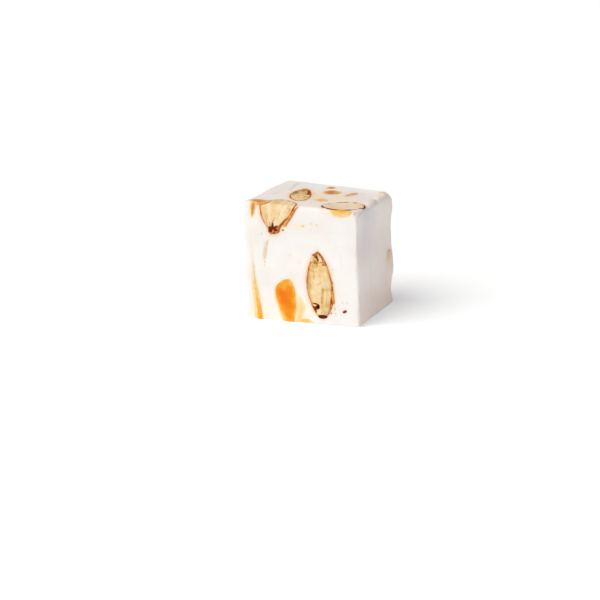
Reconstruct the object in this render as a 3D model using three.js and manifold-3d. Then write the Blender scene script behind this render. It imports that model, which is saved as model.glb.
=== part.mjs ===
// A hand-cut cube of soft white nougat with whole almonds and lumps of caramel.
// Millimetres, +Z up. The cube rests on its base at Z = 0 with the origin under its middle,
// and its front face looks along -Y.
//
// One knife cuts everything, so each almond and caramel is a closed lump trimmed by the cube.
// It lies in a pocket of the nougat that is larger by a small gap all round.
import * as THREE from 'three';
import { mergeVertices } from 'three/addons/utils/BufferGeometryUtils.js';
import Module from 'manifold-3d';

const wasm = await Module();
wasm.setup();

// ---- Driving dimensions -------------------------------------------------------------------

const WIDTH = 37.6;   // left to right
const DEPTH = 30.4;   // front to back
const HEIGHT = 36.6;  // mean height: the cut top falls to the right
const GAP = 0.3;      // between a lump and its pocket

// How far each corner lies off the true box, as [x, y, z]: [base, top][front, back][left, right].
const CORNER_SHIFTS = [
  [
    [[-0.42, 0.08, 0], [0.07, 0.02, 0]],
    [[1.0, -0.3, 0], [0.26, -0.31, 0]],
  ],
  [
    [[0.09, 0.06, 0.8], [-0.49, -0.13, -1.31]],
    [[1.94, -0.08, 1.38], [0.02, 0.41, -0.55]],
  ],
];

// The radius of each edge. A knife leaves some crisp, and the warm nougat slumps round at others.
const EDGES = [
  { x: -1, y: -1, radius: 2.2 },
  { x: 1, y: -1, radius: 0.7 },
  { x: 1, y: 1, radius: 1.3 },
  { x: -1, y: 1, radius: 1.8 },
  { y: -1, z: 1, radius: 0.8 },
  { x: 1, z: 1, radius: 1.2 },
  { y: 1, z: 1, radius: 1.3 },
  { x: -1, z: 1, radius: 1.4 },
  { y: -1, z: -1, radius: 0.6 },
  { x: 1, z: -1, radius: 0.6 },
  { y: 1, z: -1, radius: 0.8 },
  { x: -1, z: -1, radius: 0.8 },
];

// The two upper right corners have slumped further than the edges that meet there.
const SLUMPED_CORNERS = [
  { x: 1, y: 1, z: 1, extraRadius: 0.8, reach: 5 },
  { x: 1, y: -1, z: 1, extraRadius: 1.4, reach: 3.5 },
];

// Slow swells of the cut faces, each as a wave vector in radians per millimetre, a phase and a height.
const SWELLS = [
  { wave: [-0.04, 0.02, 0.37], phase: 2.35, height: 0.24 },
  { wave: [0.24, 0.31, 0.12], phase: 0.5, height: 0.09 },
  { wave: [-0.37, 0.22, -0.23], phase: 2.1, height: 0.09 },
];
const FLAT_BASE = 4;  // the swells fade out over this height, so that the base stays flat

const CELLS = 14;        // grid cells along each side of a cube face
const BROAD_WIDTH = 5;   // lumps at least this wide are rounded more finely
const BROAD_FACETS = { sectors: 14, rings: 9 };
const SMALL_FACETS = { sectors: 10, rings: 7 };

// The faces of the mean box, for placing lumps, and the directions they look in.
const FRONT = -DEPTH / 2;
const BACK = DEPTH / 2;
const LEFT = -WIDTH / 2;
const RIGHT = WIDTH / 2;
const TOP = HEIGHT;
const BASE = 0;
const FORWARD = [0, -1, 0];
const BACKWARD = [0, 1, 0];
const LEFTWARD = [-1, 0, 0];
const RIGHTWARD = [1, 0, 0];
const UPWARD = [0.06, 0, 1];  // square to the slanting top
const DOWNWARD = [0, 0, -1];

// ---- Colours ------------------------------------------------------------------------------

const finish = (color, roughness) => new THREE.MeshStandardMaterial({ color, roughness, metalness: 0 });
const NOUGAT = finish('#faf5f0', 0.75);
const ALMOND = finish('#eed3a0', 0.6);
const CARAMEL = finish('#f58515', 0.3);
const HONEY = finish('#f4bc56', 0.35);
const BROWNED = finish('#b5773c', 0.45);

// ---- Solids -------------------------------------------------------------------------------

// A closed three.js geometry as a manifold-3d solid.
function solidOf(geometry) {
  const bare = geometry.clone();
  bare.deleteAttribute('normal');
  bare.deleteAttribute('uv');
  const merged = mergeVertices(bare, 1e-4);
  return new wasm.Manifold(new wasm.Mesh({
    numProp: 3,
    vertProperties: merged.getAttribute('position').array,
    triVerts: new Uint32Array(merged.index.array),
  }));
}

// A manifold-3d solid as a named mesh.
function meshOf(name, solid, material) {
  const { vertProperties, triVerts } = solid.getMesh();
  const geometry = new THREE.BufferGeometry();
  geometry.setAttribute('position', new THREE.BufferAttribute(new Float32Array(vertProperties), 3));
  geometry.setIndex(new THREE.BufferAttribute(new Uint32Array(triVerts), 1));
  geometry.computeVertexNormals();
  const mesh = new THREE.Mesh(geometry, material);
  mesh.name = name;
  return mesh;
}

// Moves every vertex of a geometry to place(vertex), which returns a Vector3.
function reshape(geometry, place) {
  const position = geometry.getAttribute('position');
  for (let i = 0; i < position.count; i += 1) {
    const { x, y, z } = place(new THREE.Vector3().fromBufferAttribute(position, i));
    position.setXYZ(i, x, y, z);
  }
  return geometry;
}

// ---- The cube -----------------------------------------------------------------------------

const HALF = new THREE.Vector3(WIDTH / 2, DEPTH / 2, HEIGHT / 2);

// The edge radius near a point of the box: each edge's own, weighted by nearness.
function radiusNear(point) {
  let weights = 0;
  let sum = 0;
  for (const { radius, ...sides } of EDGES) {
    let squared = 0.25;
    for (const [axis, side] of Object.entries(sides)) {
      squared += (point[axis] - side * HALF[axis]) ** 2;
    }
    weights += 1 / squared ** 2;
    sum += radius / squared ** 2;
  }
  let slump = 0;
  for (const { x, y, z, extraRadius, reach } of SLUMPED_CORNERS) {
    const corner = new THREE.Vector3(x, y, z).multiply(HALF);
    slump += extraRadius * Math.exp(-point.distanceToSquared(corner) / reach ** 2);
  }
  return sum / weights + slump;
}

// The shift of the hand-cut corners, carried over the box in proportion to its sides.
function cornerShift(point) {
  const shift = new THREE.Vector3();
  CORNER_SHIFTS.forEach((level, k) => level.forEach((row, j) => row.forEach((corner, i) => {
    const share = (i ? 1 : -1) * point.x / HALF.x;
    const across = (j ? 1 : -1) * point.y / HALF.y;
    const up = (k ? 1 : -1) * point.z / HALF.z;
    const weight = (1 + share) * (1 + across) * (1 + up) / 8;
    shift.addScaledVector(new THREE.Vector3(...corner), weight);
  })));
  return shift;
}

// How far the surface stands proud at a point, which is measured from the middle of the base.
function swellAt(point) {
  let swell = 0;
  for (const { wave, phase, height } of SWELLS) {
    swell += height * Math.sin(point.dot(new THREE.Vector3(...wave)) + phase);
  }
  return swell * THREE.MathUtils.smoothstep(point.z, 0, FLAT_BASE);
}

// The outside of the cube for a point of the two-unit box. Grid lines crowd towards the edges
// as a sine, the edges are rounded by setting each point off an inner box by the edge radius,
// and the corner shifts and the swells come last.
function cubeSurface(unit) {
  const crowd = (t) => Math.sin(t * Math.PI / 2);
  const onBox = new THREE.Vector3(crowd(unit.x), crowd(unit.y), crowd(unit.z)).multiply(HALF);
  const radius = radiusNear(onBox);
  const core = HALF.clone().subScalar(radius);
  const inner = onBox.clone().clamp(core.clone().negate(), core);
  const outward = onBox.clone().sub(inner).normalize();
  const rounded = inner.addScaledVector(outward, radius);
  const placed = rounded.add(cornerShift(rounded)).add(new THREE.Vector3(0, 0, HALF.z));
  return placed.addScaledVector(outward, swellAt(placed));
}

// The cube's geometry, centred over the origin.
function cubeGeometry() {
  const geometry = reshape(new THREE.BoxGeometry(2, 2, 2, CELLS, CELLS, CELLS), cubeSurface);
  geometry.computeBoundingBox();
  const middle = geometry.boundingBox.getCenter(new THREE.Vector3());
  return geometry.translate(-middle.x, -middle.y, -geometry.boundingBox.min.z);
}

// ---- Lumps --------------------------------------------------------------------------------

// A closed lump from its foot point to its tip point, with its broad side turned to `facing`.
// Along its length s, from 0 to 1, it is as wide as s^footPower * (1 - s)^tipPower, so a power
// near 0.5 makes a round end and one near 1 a pointed end. Round it, a section is a superellipse
// of the given width and depth. It can bow sideways, and lean its sections by a slant.
// `grow` makes it larger all round, for its pocket.
function lump(shape, grow = 0) {
  const { foot, tip, facing, width, depth } = shape;
  const { footPower = 0.5, tipPower = 0.5, roundness = 2, bow = 0, slant = 0 } = shape;
  const start = new THREE.Vector3(...foot);
  const end = new THREE.Vector3(...tip);
  const along = end.clone().sub(start);
  const length = along.length() + 2 * grow;
  along.normalize();
  const outward = new THREE.Vector3(...facing);
  outward.addScaledVector(along, -outward.dot(along)).normalize();
  const across = along.clone().cross(outward);
  const widest = footPower / (footPower + tipPower);
  const peak = widest ** footPower * (1 - widest) ** tipPower;
  const middle = start.add(end).multiplyScalar(0.5);

  const place = (unit) => {
    const s = (1 + THREE.MathUtils.clamp(unit.y, -1, 1)) / 2;
    const girth = s ** footPower * (1 - s) ** tipPower / peak;
    const angle = Math.atan2(unit.z, unit.x);
    const rounded = (t) => Math.sign(t) * Math.abs(t) ** (2 / roundness);
    const sideways = (width / 2 + grow) * girth * rounded(Math.cos(angle)) + bow * 4 * s * (1 - s);
    const deep = (depth / 2 + grow) * girth * rounded(Math.sin(angle));
    return middle.clone()
      .addScaledVector(across, sideways)
      .addScaledVector(along, length * (s - 0.5) + slant * sideways)
      .addScaledVector(outward, deep);
  };
  const { sectors, rings } = width < BROAD_WIDTH ? SMALL_FACETS : BROAD_FACETS;
  return solidOf(reshape(new THREE.SphereGeometry(1, sectors, rings), place));
}

// Each lump of the cube: its shapes, which are joined where there are two, and its material.
// A proud lump isn't trimmed by the knife, and stands a little out of the nougat.
const LUMPS = {
  // Front face: a kernel split lengthwise, one cut through at the top corner, and a thin shaving.
  almond_front: {
    material: ALMOND,
    shapes: [{
      foot: [7.2, FRONT, 1.8], tip: [5.8, FRONT, 22.8], facing: FORWARD,
      width: 8.1, depth: 13, footPower: 0.6, tipPower: 0.72, bow: -0.3,
    }],
  },
  caramel_corner: {
    material: BROWNED,
    shapes: [
      { foot: [-14.5, FRONT + 0.4, 38.5], tip: [-15.3, FRONT - 0.3, 32.6], facing: [0, -1, 0.2],
        width: 1.7, depth: 3, tipPower: 0.8 },
      { foot: [-10.6, -14.3, 37.2], tip: [-16.2, -13.0, 37.5], facing: [0, -0.2, 1],
        width: 4.0, depth: 2.6 },
    ],
  },
  almond_corner: {
    material: ALMOND,
    shapes: [
      { foot: [-3.7, -14.4, 50.5], tip: [-9.2, FRONT + 0.1, 27.1], facing: [0, -1, -0.1],
        width: 13.3, depth: 11.6, tipPower: 0.88, roundness: 1.9 },
      { foot: [-6.9, FRONT + 0.2, 28.3], tip: [-10.1, FRONT + 0.2, 28.2], facing: FORWARD,
        width: 2.2, depth: 3 },
    ],
  },
  almond_sliver_front: {
    material: ALMOND,
    shapes: [{
      foot: [-11.6, FRONT, 19.2], tip: [-10.6, FRONT, 25.4], facing: FORWARD,
      width: 0.7, depth: 5, tipPower: 0.9, bow: -0.3,
    }],
  },
  caramel_front: {
    material: CARAMEL,
    shapes: [{
      foot: [-3.4, FRONT, -9], tip: [-6.2, FRONT, 12.6], facing: FORWARD,
      width: 6.1, depth: 10, footPower: 1.3, tipPower: 0.26, roundness: 2.2, bow: 0.45, slant: 0.5,
    }],
  },
  caramel_streak: {
    material: HONEY,
    shapes: [{
      foot: [-12.9, FRONT, -7], tip: [-16.3, FRONT, 21], facing: FORWARD,
      width: 2.3, depth: 6, footPower: 0.4, tipPower: 1.6, bow: -0.1,
    }],
  },

  // Top face.
  almond_top_left: {
    material: ALMOND,
    shapes: [{
      foot: [-2.6, -8.8, TOP + 0.1], tip: [-6.9, 7.2, TOP + 0.7], facing: UPWARD,
      width: 6.5, depth: 11, tipPower: 0.72, bow: -0.3,
    }],
  },
  almond_top_right: {
    material: ALMOND,
    shapes: [{
      foot: [6.4, -10.5, TOP - 0.4], tip: [18.7, -8.1, TOP - 0.9], facing: UPWARD,
      width: 9.8, depth: 9, footPower: 0.45, tipPower: 0.55, slant: -0.33,
    }],
  },
  caramel_top_edge: {
    material: HONEY,
    shapes: [{
      foot: [10.8, FRONT + 0.3, 35.6], tip: [17.1, FRONT + 0.1, 35.1], facing: [0, -1, 0.6],
      width: 2.6, depth: 5,
    }],
  },
  caramel_top_brown: {
    material: BROWNED,
    shapes: [{
      foot: [2.0, 3.0, TOP + 0.1], tip: [2.9, 7.5, TOP + 0.2], facing: UPWARD,
      width: 5.2, depth: 5, roundness: 2.1,
    }],
  },
  caramel_top_back: {
    material: BROWNED,
    shapes: [{
      foot: [0.8, 8.6, TOP + 0.3], tip: [0.1, 11.2, TOP + 0.4], facing: UPWARD,
      width: 2.2, depth: 3,
    }],
  },
  caramel_top_pale: {
    material: HONEY,
    shapes: [{
      foot: [3.6, -6.4, TOP - 0.2], tip: [2.9, -2.9, TOP - 0.1], facing: UPWARD,
      width: 3.6, depth: 4,
    }],
  },
  almond_top_shard: {
    material: ALMOND,
    shapes: [{
      foot: [9.3, 2.6, TOP - 0.3], tip: [9.0, 8.2, TOP - 0.2], facing: UPWARD,
      width: 1.8, depth: 4, tipPower: 0.6,
    }],
  },
  almond_top_corner: {
    material: ALMOND,
    shapes: [{
      foot: [17.6, 8.6, TOP - 0.7], tip: [16.8, 11.8, TOP - 0.6], facing: UPWARD,
      width: 2.1, depth: 3,
    }],
  },

  // The kernel that the knife pushed a little out of the right face, near its back edge.
  almond_right_edge: {
    material: ALMOND,
    proud: true,
    shapes: [{
      foot: [RIGHT - 1.4, 9.2, 12.6], tip: [RIGHT - 1.4, 13.2, 19.3], facing: RIGHTWARD,
      width: 5.4, depth: 3.9,
    }],
  },

  // Left face.
  almond_left: {
    material: ALMOND,
    shapes: [{
      foot: [LEFT, 8.5, 8.5], tip: [LEFT + 0.3, -1.5, 26.5], facing: LEFTWARD,
      width: 11.6, depth: 9, tipPower: 0.7,
    }],
  },
  almond_left_top: {
    material: ALMOND,
    shapes: [{
      foot: [LEFT, -1.5, 31.2], tip: [LEFT, -10, 32.6], facing: LEFTWARD,
      width: 4.6, depth: 6, tipPower: 0.7,
    }],
  },
  caramel_left: {
    material: CARAMEL,
    shapes: [{
      foot: [LEFT, -4.6, 3.4], tip: [LEFT, -8.6, 13.4], facing: LEFTWARD,
      width: 5, depth: 8, footPower: 0.4, tipPower: 0.9, slant: 0.3,
    }],
  },
  caramel_left_bead: {
    material: HONEY,
    shapes: [{ foot: [LEFT + 1.3, 8.8, 30.6], tip: [LEFT + 1.4, 12, 31.6], facing: LEFTWARD,
      width: 2.6, depth: 4 }],
  },

  // Back face.
  almond_back: {
    material: ALMOND,
    shapes: [{
      foot: [-0.5, BACK, 14], tip: [-11.5, BACK - 0.2, 29.5], facing: BACKWARD,
      width: 8.6, depth: 12, footPower: 0.6, tipPower: 0.75,
    }],
  },
  almond_back_cross: {
    material: ALMOND,
    shapes: [{
      foot: [6.5, 4.5, 9.5], tip: [7.5, 27, 8.5], facing: [0.2, 0, 1],
      width: 12.4, depth: 8.2, tipPower: 0.7,
    }],
  },
  caramel_back: {
    material: CARAMEL,
    shapes: [{
      foot: [8, BACK, 21.5], tip: [11.5, BACK, 31], facing: BACKWARD,
      width: 4.8, depth: 7, footPower: 0.5, tipPower: 0.9, slant: -0.35,
    }],
  },
  caramel_back_base: {
    material: CARAMEL,
    shapes: [{ foot: [-5.4, BACK, 0.6], tip: [-12.6, BACK, 0.2], facing: BACKWARD, width: 7.4, depth: 6 }],
  },

  // Underside.
  almond_base: {
    material: ALMOND,
    shapes: [{
      foot: [9.5, -1, BASE], tip: [-8, -4.6, BASE], facing: DOWNWARD,
      width: 8.4, depth: 8, tipPower: 0.75,
    }],
  },
  caramel_base: {
    material: HONEY,
    shapes: [{ foot: [-10.8, 3.4, BASE], tip: [-7.4, 6.6, BASE], facing: DOWNWARD, width: 3, depth: 4 }],
  },
};

// ---- Assembly -----------------------------------------------------------------------------

const cube = solidOf(cubeGeometry());
const part = new THREE.Group();
let nougat = cube;
const pockets = [];
for (const [name, { shapes, material, proud }] of Object.entries(LUMPS)) {
  const joined = (grow) => shapes.map((shape) => lump(shape, grow)).reduce((a, b) => a.add(b));
  let solid = proud ? joined(0) : joined(0).intersect(cube);
  for (const pocket of pockets) {
    solid = solid.subtract(pocket);
  }
  const pocket = joined(GAP);
  nougat = nougat.subtract(pocket);
  pockets.push(pocket);
  part.add(meshOf(name, solid, material));
}
part.add(meshOf('nougat', nougat, NOUGAT));

export default part;
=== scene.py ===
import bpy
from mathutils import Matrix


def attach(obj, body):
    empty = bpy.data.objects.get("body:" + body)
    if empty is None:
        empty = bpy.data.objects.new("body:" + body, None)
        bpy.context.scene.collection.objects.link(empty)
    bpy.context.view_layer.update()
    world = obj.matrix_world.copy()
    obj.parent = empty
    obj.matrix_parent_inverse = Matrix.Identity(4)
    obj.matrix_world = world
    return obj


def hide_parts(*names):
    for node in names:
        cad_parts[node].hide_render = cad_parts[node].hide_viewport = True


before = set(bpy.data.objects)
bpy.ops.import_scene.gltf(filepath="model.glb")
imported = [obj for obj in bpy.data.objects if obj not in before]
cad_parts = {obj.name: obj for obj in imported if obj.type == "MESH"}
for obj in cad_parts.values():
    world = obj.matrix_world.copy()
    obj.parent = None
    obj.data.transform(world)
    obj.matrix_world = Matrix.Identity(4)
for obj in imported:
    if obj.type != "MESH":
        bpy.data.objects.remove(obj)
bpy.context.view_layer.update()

import math

import bpy
import numpy as np
from mathutils import Matrix, Vector

# ---- Camera ---------------------------------------------------------------------------------
# A long lens, a little above the cube and to the right of its front face, which lies in the
# middle of a wide white field. It leans by about two degrees.

CAMERA_AT = (0.21161, -0.49990, 0.15388)
CAMERA_AZIMUTH = 23.62    # degrees from the front face's own normal
CAMERA_ELEVATION = 15.50
CAMERA_ROLL = 1.96
LENS = 108.0              # mm, on a sensor 36 mm wide

camera = bpy.data.objects.new("camera", bpy.data.cameras.new("camera"))
camera.data.lens = LENS
camera.data.sensor_width = 36.0
camera.data.clip_start = 0.01
camera.data.clip_end = 50.0
upright = Matrix.Rotation(math.radians(CAMERA_AZIMUTH), 4, "Z")
tilted = Matrix.Rotation(math.radians(90 - CAMERA_ELEVATION), 4, "X")
rolled = Matrix.Rotation(math.radians(-CAMERA_ROLL), 4, "Z")
camera.matrix_world = Matrix.Translation(CAMERA_AT) @ upright @ tilted @ rolled
bpy.context.scene.collection.objects.link(camera)
bpy.context.scene.camera = camera

# ---- The block ------------------------------------------------------------------------------
# Soft white nougat, cut by hand into a cube: no corner is square, the warm block has slumped
# round at some edges, and the knife has left fine drag lines. The block is worked in millimetres.
# It is first made whole. Everything in it is trimmed by it, and it is hollowed at the end.

HALF = np.array([18.8, 15.2, 18.3])   # half its width, depth and height
CELLS = np.array([136, 74, 136])      # grid cells along x, y and z
EDGE_CROWDING = 0.35                  # how far the grid lines crowd towards the edges

# How far each corner lies off the true box: [base, top][front, back][left, right].
CORNER_SHIFTS = np.array([
    [[[-0.42, 0.08, 0], [0.07, 0.02, 0]], [[1.0, -0.3, 0], [0.26, -0.31, 0]]],
    [[[0.09, 0.06, 0.8], [-0.3, -0.13, -1.31]], [[1.94, -0.08, 1.38], [0.02, 0.41, -0.95]]],
])

# Each edge as the signs of the two faces that meet there (0 along the edge), and its radius.
EDGES = [
    ((-1, -1, 0), 2.2), ((1, -1, 0), 0.7), ((1, 1, 0), 1.3), ((-1, 1, 0), 1.8),
    ((0, -1, 1), 0.8), ((1, 0, 1), 1.2), ((0, 1, 1), 1.3), ((-1, 0, 1), 1.4),
    ((0, -1, -1), 0.6), ((1, 0, -1), 0.6), ((0, 1, -1), 0.8), ((-1, 0, -1), 0.8),
]
SLUMPED_CORNERS = [((1, 1, 1), 1.6, 4.5), ((1, -1, 1), 0.9, 2.2)]   # corner, extra radius, reach
SWELLS = [((-0.04, 0.02, 0.37), 2.35, 0.24), ((0.24, 0.31, 0.12), 0.5, 0.09),
          ((-0.37, 0.22, -0.23), 2.1, 0.09)]                        # wave, phase, height
# The bulges and hollows of the right face: y, z, height, and how far each reaches along y and z.
RIGHT_FACE = [(-15, 33.0, 0.5, 9, 4.0), (-15, 27.0, 0.3, 7, 4.0), (-15, 11.0, 0.18, 9, 7.0),
              (15, 31.0, 0.32, 9, 3.0), (15, 18.5, -0.34, 9, 2.8), (15, 11.0, 0.4, 9, 2.4),
              (15, 4.0, -0.55, 9, 3.0)]
FLAT_BASE = 4.0                       # the height over which the swells grow from nothing

# Where the warm nougat tore: along the top right edge and at its front end, and the lumps it pulled up.
TORN_EDGE = (18.7, 36.2)              # x and z
TORN_CORNER = (18.6, -15.0, 35.0)
TORN_LUMPS = np.array([[18.5, -3.2, 35.2], [18.4, 4.2, 35.6], [18.3, 9.8, 35.6]])
TORN_LUMP_SIZE = (1.2, 0.8, 1.6)


def smooth(value, low, high):
    """0 below low, 1 above high, and a smooth step between them."""
    t = np.clip((value - low) / (high - low), 0, 1)
    return t * t * (3 - 2 * t)


def bell(off):
    """1 where off is 0, falling to about a third at 1 and to almost nothing at 2."""
    return np.exp(-off ** 2)


def noise(points, size, seed=0):
    """Smooth noise from -1 to 1: random values on a lattice of that spacing, in mm, blended by smooth steps.
    size is one length, or one for each axis."""
    table = np.random.default_rng(seed).uniform(-1, 1, (32, 32, 32))
    place = points / np.asarray(size, float) + 1000.0
    cell = np.floor(place).astype(int)
    step = smooth(place - cell, 0, 1)
    total = np.zeros(len(points))
    for corner in np.ndindex(2, 2, 2):
        share = np.where(corner, step, 1 - step).prod(axis=1)
        total += share * table[tuple(((cell + corner) % 32).T)]
    return total


def box_grid(cells):
    """The lattice over a two-unit box with those numbers of cells along its axes: its points, from -1 to 1,
    and its quads, which turn outward. Points on a shared edge are one point."""
    ring = [(0, 0), (1, 0), (1, 1), (0, 1)]
    faces = []
    for axis in range(3):
        second, third = (axis + 1) % 3, (axis + 2) % 3
        steps = np.meshgrid(np.arange(cells[second]), np.arange(cells[third]), indexing="ij")
        i, j = (step.ravel() for step in steps)
        for side in (0, cells[axis]):
            quads = np.empty((len(i), 4, 3), int)
            for n, (to_i, to_j) in enumerate(ring if side else ring[::-1]):
                quads[:, n, axis] = side
                quads[:, n, second] = i + to_i
                quads[:, n, third] = j + to_j
            faces.append(quads.reshape(-1, 3))
    lattice, index = np.unique(np.concatenate(faces), axis=0, return_inverse=True)
    return lattice * 2 / cells - 1, index.reshape(-1, 4)


def block_surface(unit):
    """The outside of the plain cube for points of the two-unit box. The grid lines crowd towards the edges
    as a part of a sine. Each point is then set off an inner box by the edge radius near it, moved with the
    corners in proportion to its place, and raised by the swells, which fade out at the base. The right face
    has bulges and hollows of its own, each a bell over its place.
    Returns the places, the outward directions, and the distances to the nearest edge."""
    crowded = (1 - EDGE_CROWDING) * unit + EDGE_CROWDING * np.sin(unit * np.pi / 2)
    on_box = crowded * HALF
    edge_distance = np.sort(HALF - np.abs(on_box), axis=1)[:, 1]
    weights = np.zeros(len(unit))
    radius = np.zeros(len(unit))
    for signs, own_radius in EDGES:
        off = (on_box - np.array(signs) * HALF)[:, np.abs(signs) == 1]
        weight = 1 / (0.25 + (off ** 2).sum(axis=1)) ** 2
        weights += weight
        radius += own_radius * weight
    radius /= weights
    for signs, extra, reach in SLUMPED_CORNERS:
        radius += extra * bell(np.linalg.norm(on_box - np.array(signs) * HALF, axis=1) / reach)
    core = HALF - radius[:, None]
    inner = np.clip(on_box, -core, core)
    outward = on_box - inner
    outward /= np.linalg.norm(outward, axis=1, keepdims=True)
    rounded = inner + radius[:, None] * outward
    moved = rounded + [0, 0, HALF[2]]
    for (k, j, i) in np.ndindex(2, 2, 2):
        sides = np.where((i, j, k), 1, -1)
        share = (1 + sides * rounded / HALF).prod(axis=1) / 8
        moved += share[:, None] * CORNER_SHIFTS[k, j, i]
    swell = sum(height * np.sin(moved @ np.array(wave) + phase) for wave, phase, height in SWELLS)
    moved += outward * (swell * smooth(moved[:, 2], 0, FLAT_BASE))[:, None]
    for y, z, height, y_reach, z_reach in RIGHT_FACE:
        bulge = height * bell((moved[:, 1] - y) / y_reach) * bell((moved[:, 2] - z) / z_reach)
        moved[:, 0] += bulge * smooth(moved[:, 0], 6, 18)
    return moved, outward, edge_distance


def dragged(outward):
    """1 on the right and back faces, whose knife strokes ran up and down, and 0 on the others."""
    return smooth(np.maximum(outward[:, 0], outward[:, 1]), 0.6, 0.9)


def torn(points):
    """How close a point is to the torn edge and the torn corner: a bell over each, the higher of the two."""
    off_edge = np.hypot(TORN_EDGE[0] - points[:, 0], 0.7 * (TORN_EDGE[1] - points[:, 2]))
    off_corner = np.linalg.norm(points - TORN_CORNER, axis=1)
    return np.maximum(bell(off_edge / 1.8), bell(off_corner / 1.7))


def block_relief(points, outward, edge_distance):
    """How far the true surface stands off the plain cube, in mm: broad unevenness, crumbled edges, drag
    lines that run up the right and back faces, lumps that the tear pulled up along the top right edge, and
    burst air bubbles. Each is noise of its own height and size. The base stays flat."""
    broad = 0.05 * noise(points, 6.0, 1) + 0.03 * noise(points, 2.6, 2)
    crumbled = bell(edge_distance / 0.9)
    crumbs = crumbled * (0.1 * noise(points, 1.1, 3) + 0.07 * noise(points, 0.6, 4) - 0.04)
    low = 1.4 - smooth(points[:, 2], 2, 20)
    lines = 0.035 * noise(points, (0.8, 0.8, 16.0), 5) + 0.05 * noise(points, (0.4, 0.4, 9.0), 6)
    tear = torn(points) * (0.3 * noise(points, (3.0, 4.0, 3.0), 7) + 0.1 * noise(points, 1.2, 8) - 0.05)
    for place in TORN_LUMPS:
        tear += 0.35 * bell(np.linalg.norm((points - place) / TORN_LUMP_SIZE, axis=1))
    bubbles = -0.12 * smooth(noise(points, 0.9, 9), 0.7, 0.9)
    lifted = smooth(points[:, 2], 0.1, 1.0)
    return lifted * (broad + crumbs + dragged(outward) * low * lines + tear + bubbles)


def linear(code):
    """An sRGB hex colour as linear RGBA."""
    srgb = np.array([int(code[i:i + 2], 16) for i in (1, 3, 5)]) / 255
    rgb = np.where(srgb <= 0.04045, srgb / 12.92, ((srgb + 0.055) / 1.055) ** 2.4)
    return (*rgb.tolist(), 1.0)


def closed_mesh(name, points, faces):
    """An object from arrays of points, in mm, and of faces with equally many corners. It is turned outward if
    the volume inside it comes out negative."""
    a, b, c = (points[faces[:, n]] for n in (0, 1, 2))
    if (np.cross(a, b) * c).sum() < 0:
        faces = faces[:, ::-1]
    mesh = bpy.data.meshes.new(name)
    mesh.vertices.add(len(points))
    mesh.vertices.foreach_set("co", points.astype(np.float32).ravel())
    mesh.loops.add(faces.size)
    mesh.loops.foreach_set("vertex_index", faces.astype(np.int32).ravel())
    mesh.polygons.add(len(faces))
    mesh.polygons.foreach_set("loop_start", np.arange(0, faces.size, faces.shape[1], dtype=np.int32))
    mesh.update(calc_edges=True)
    made = bpy.data.objects.new(name, mesh)
    bpy.context.scene.collection.objects.link(made)
    return made


def settle(obj):
    """Makes the object's mesh what its modifiers give."""
    depsgraph = bpy.context.evaluated_depsgraph_get()
    before = obj.data
    after = bpy.data.meshes.new_from_object(obj.evaluated_get(depsgraph))
    obj.modifiers.clear()
    obj.data = after
    bpy.data.meshes.remove(before)


def carve(obj, tool, operation):
    """Joins obj with tool, cuts tool out of it, or keeps what they share."""
    modifier = obj.modifiers.new(operation, "BOOLEAN")
    modifier.operation = operation
    modifier.solver = "MANIFOLD"
    modifier.object = tool
    settle(obj)


unit_points, block_quads = box_grid(CELLS)
block_points, block_outward, block_edge = block_surface(unit_points)
block_points += block_outward * block_relief(block_points, block_outward, block_edge)[:, None]
block_points[:, 2] = np.maximum(block_points[:, 2], 0)
block = closed_mesh("block", block_points, block_quads)

# ---- Lumps ----------------------------------------------------------------------------------
# Almonds and caramels all start as whole lumps that were stirred into the warm mix. The knife
# cuts each one level with the nougat. Where two touch, the later one gives way to the earlier.

RIGHT, BACK, TOP = HALF * (1, 1, 2)
LEFT, FRONT = -RIGHT, -BACK
UPWARD = (0.06, 0, 1)                 # out of the top face, which leans a little to the right
SECTORS = 56
RINGS = 40
earlier = []                          # each lump before it was cut, with its shapes


def lump_axes(shape):
    """The middle, length and directions (across, along, outward) of a lump."""
    foot, tip = (np.array(shape[end], float) for end in ("foot", "tip"))
    along = tip - foot
    length = np.linalg.norm(along)
    along /= length
    outward = np.array(shape["facing"], float)
    outward -= (outward @ along) * along
    outward /= np.linalg.norm(outward)
    return (foot + tip) / 2, length, np.array([np.cross(along, outward), along, outward])


def girth(shape, s):
    """The lump's girth as a share of its widest, at the share s of its length. It goes as s to the foot power
    times 1 - s to the tip power."""
    foot_power, tip_power = shape.get("foot_power", 0.5), shape.get("tip_power", 0.5)
    widest = foot_power / (foot_power + tip_power)
    return s ** foot_power * (1 - s) ** tip_power / (widest ** foot_power * (1 - widest) ** tip_power)


def wobble(shape, points):
    """How far a lump's real skin strays from its smooth shape, in mm. Small lumps stray less."""
    share = min(1.0, shape["width"] / 2.5)
    return share * (0.12 * noise(points, 2.2, 11) + 0.06 * noise(points, 0.9, 12))


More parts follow.
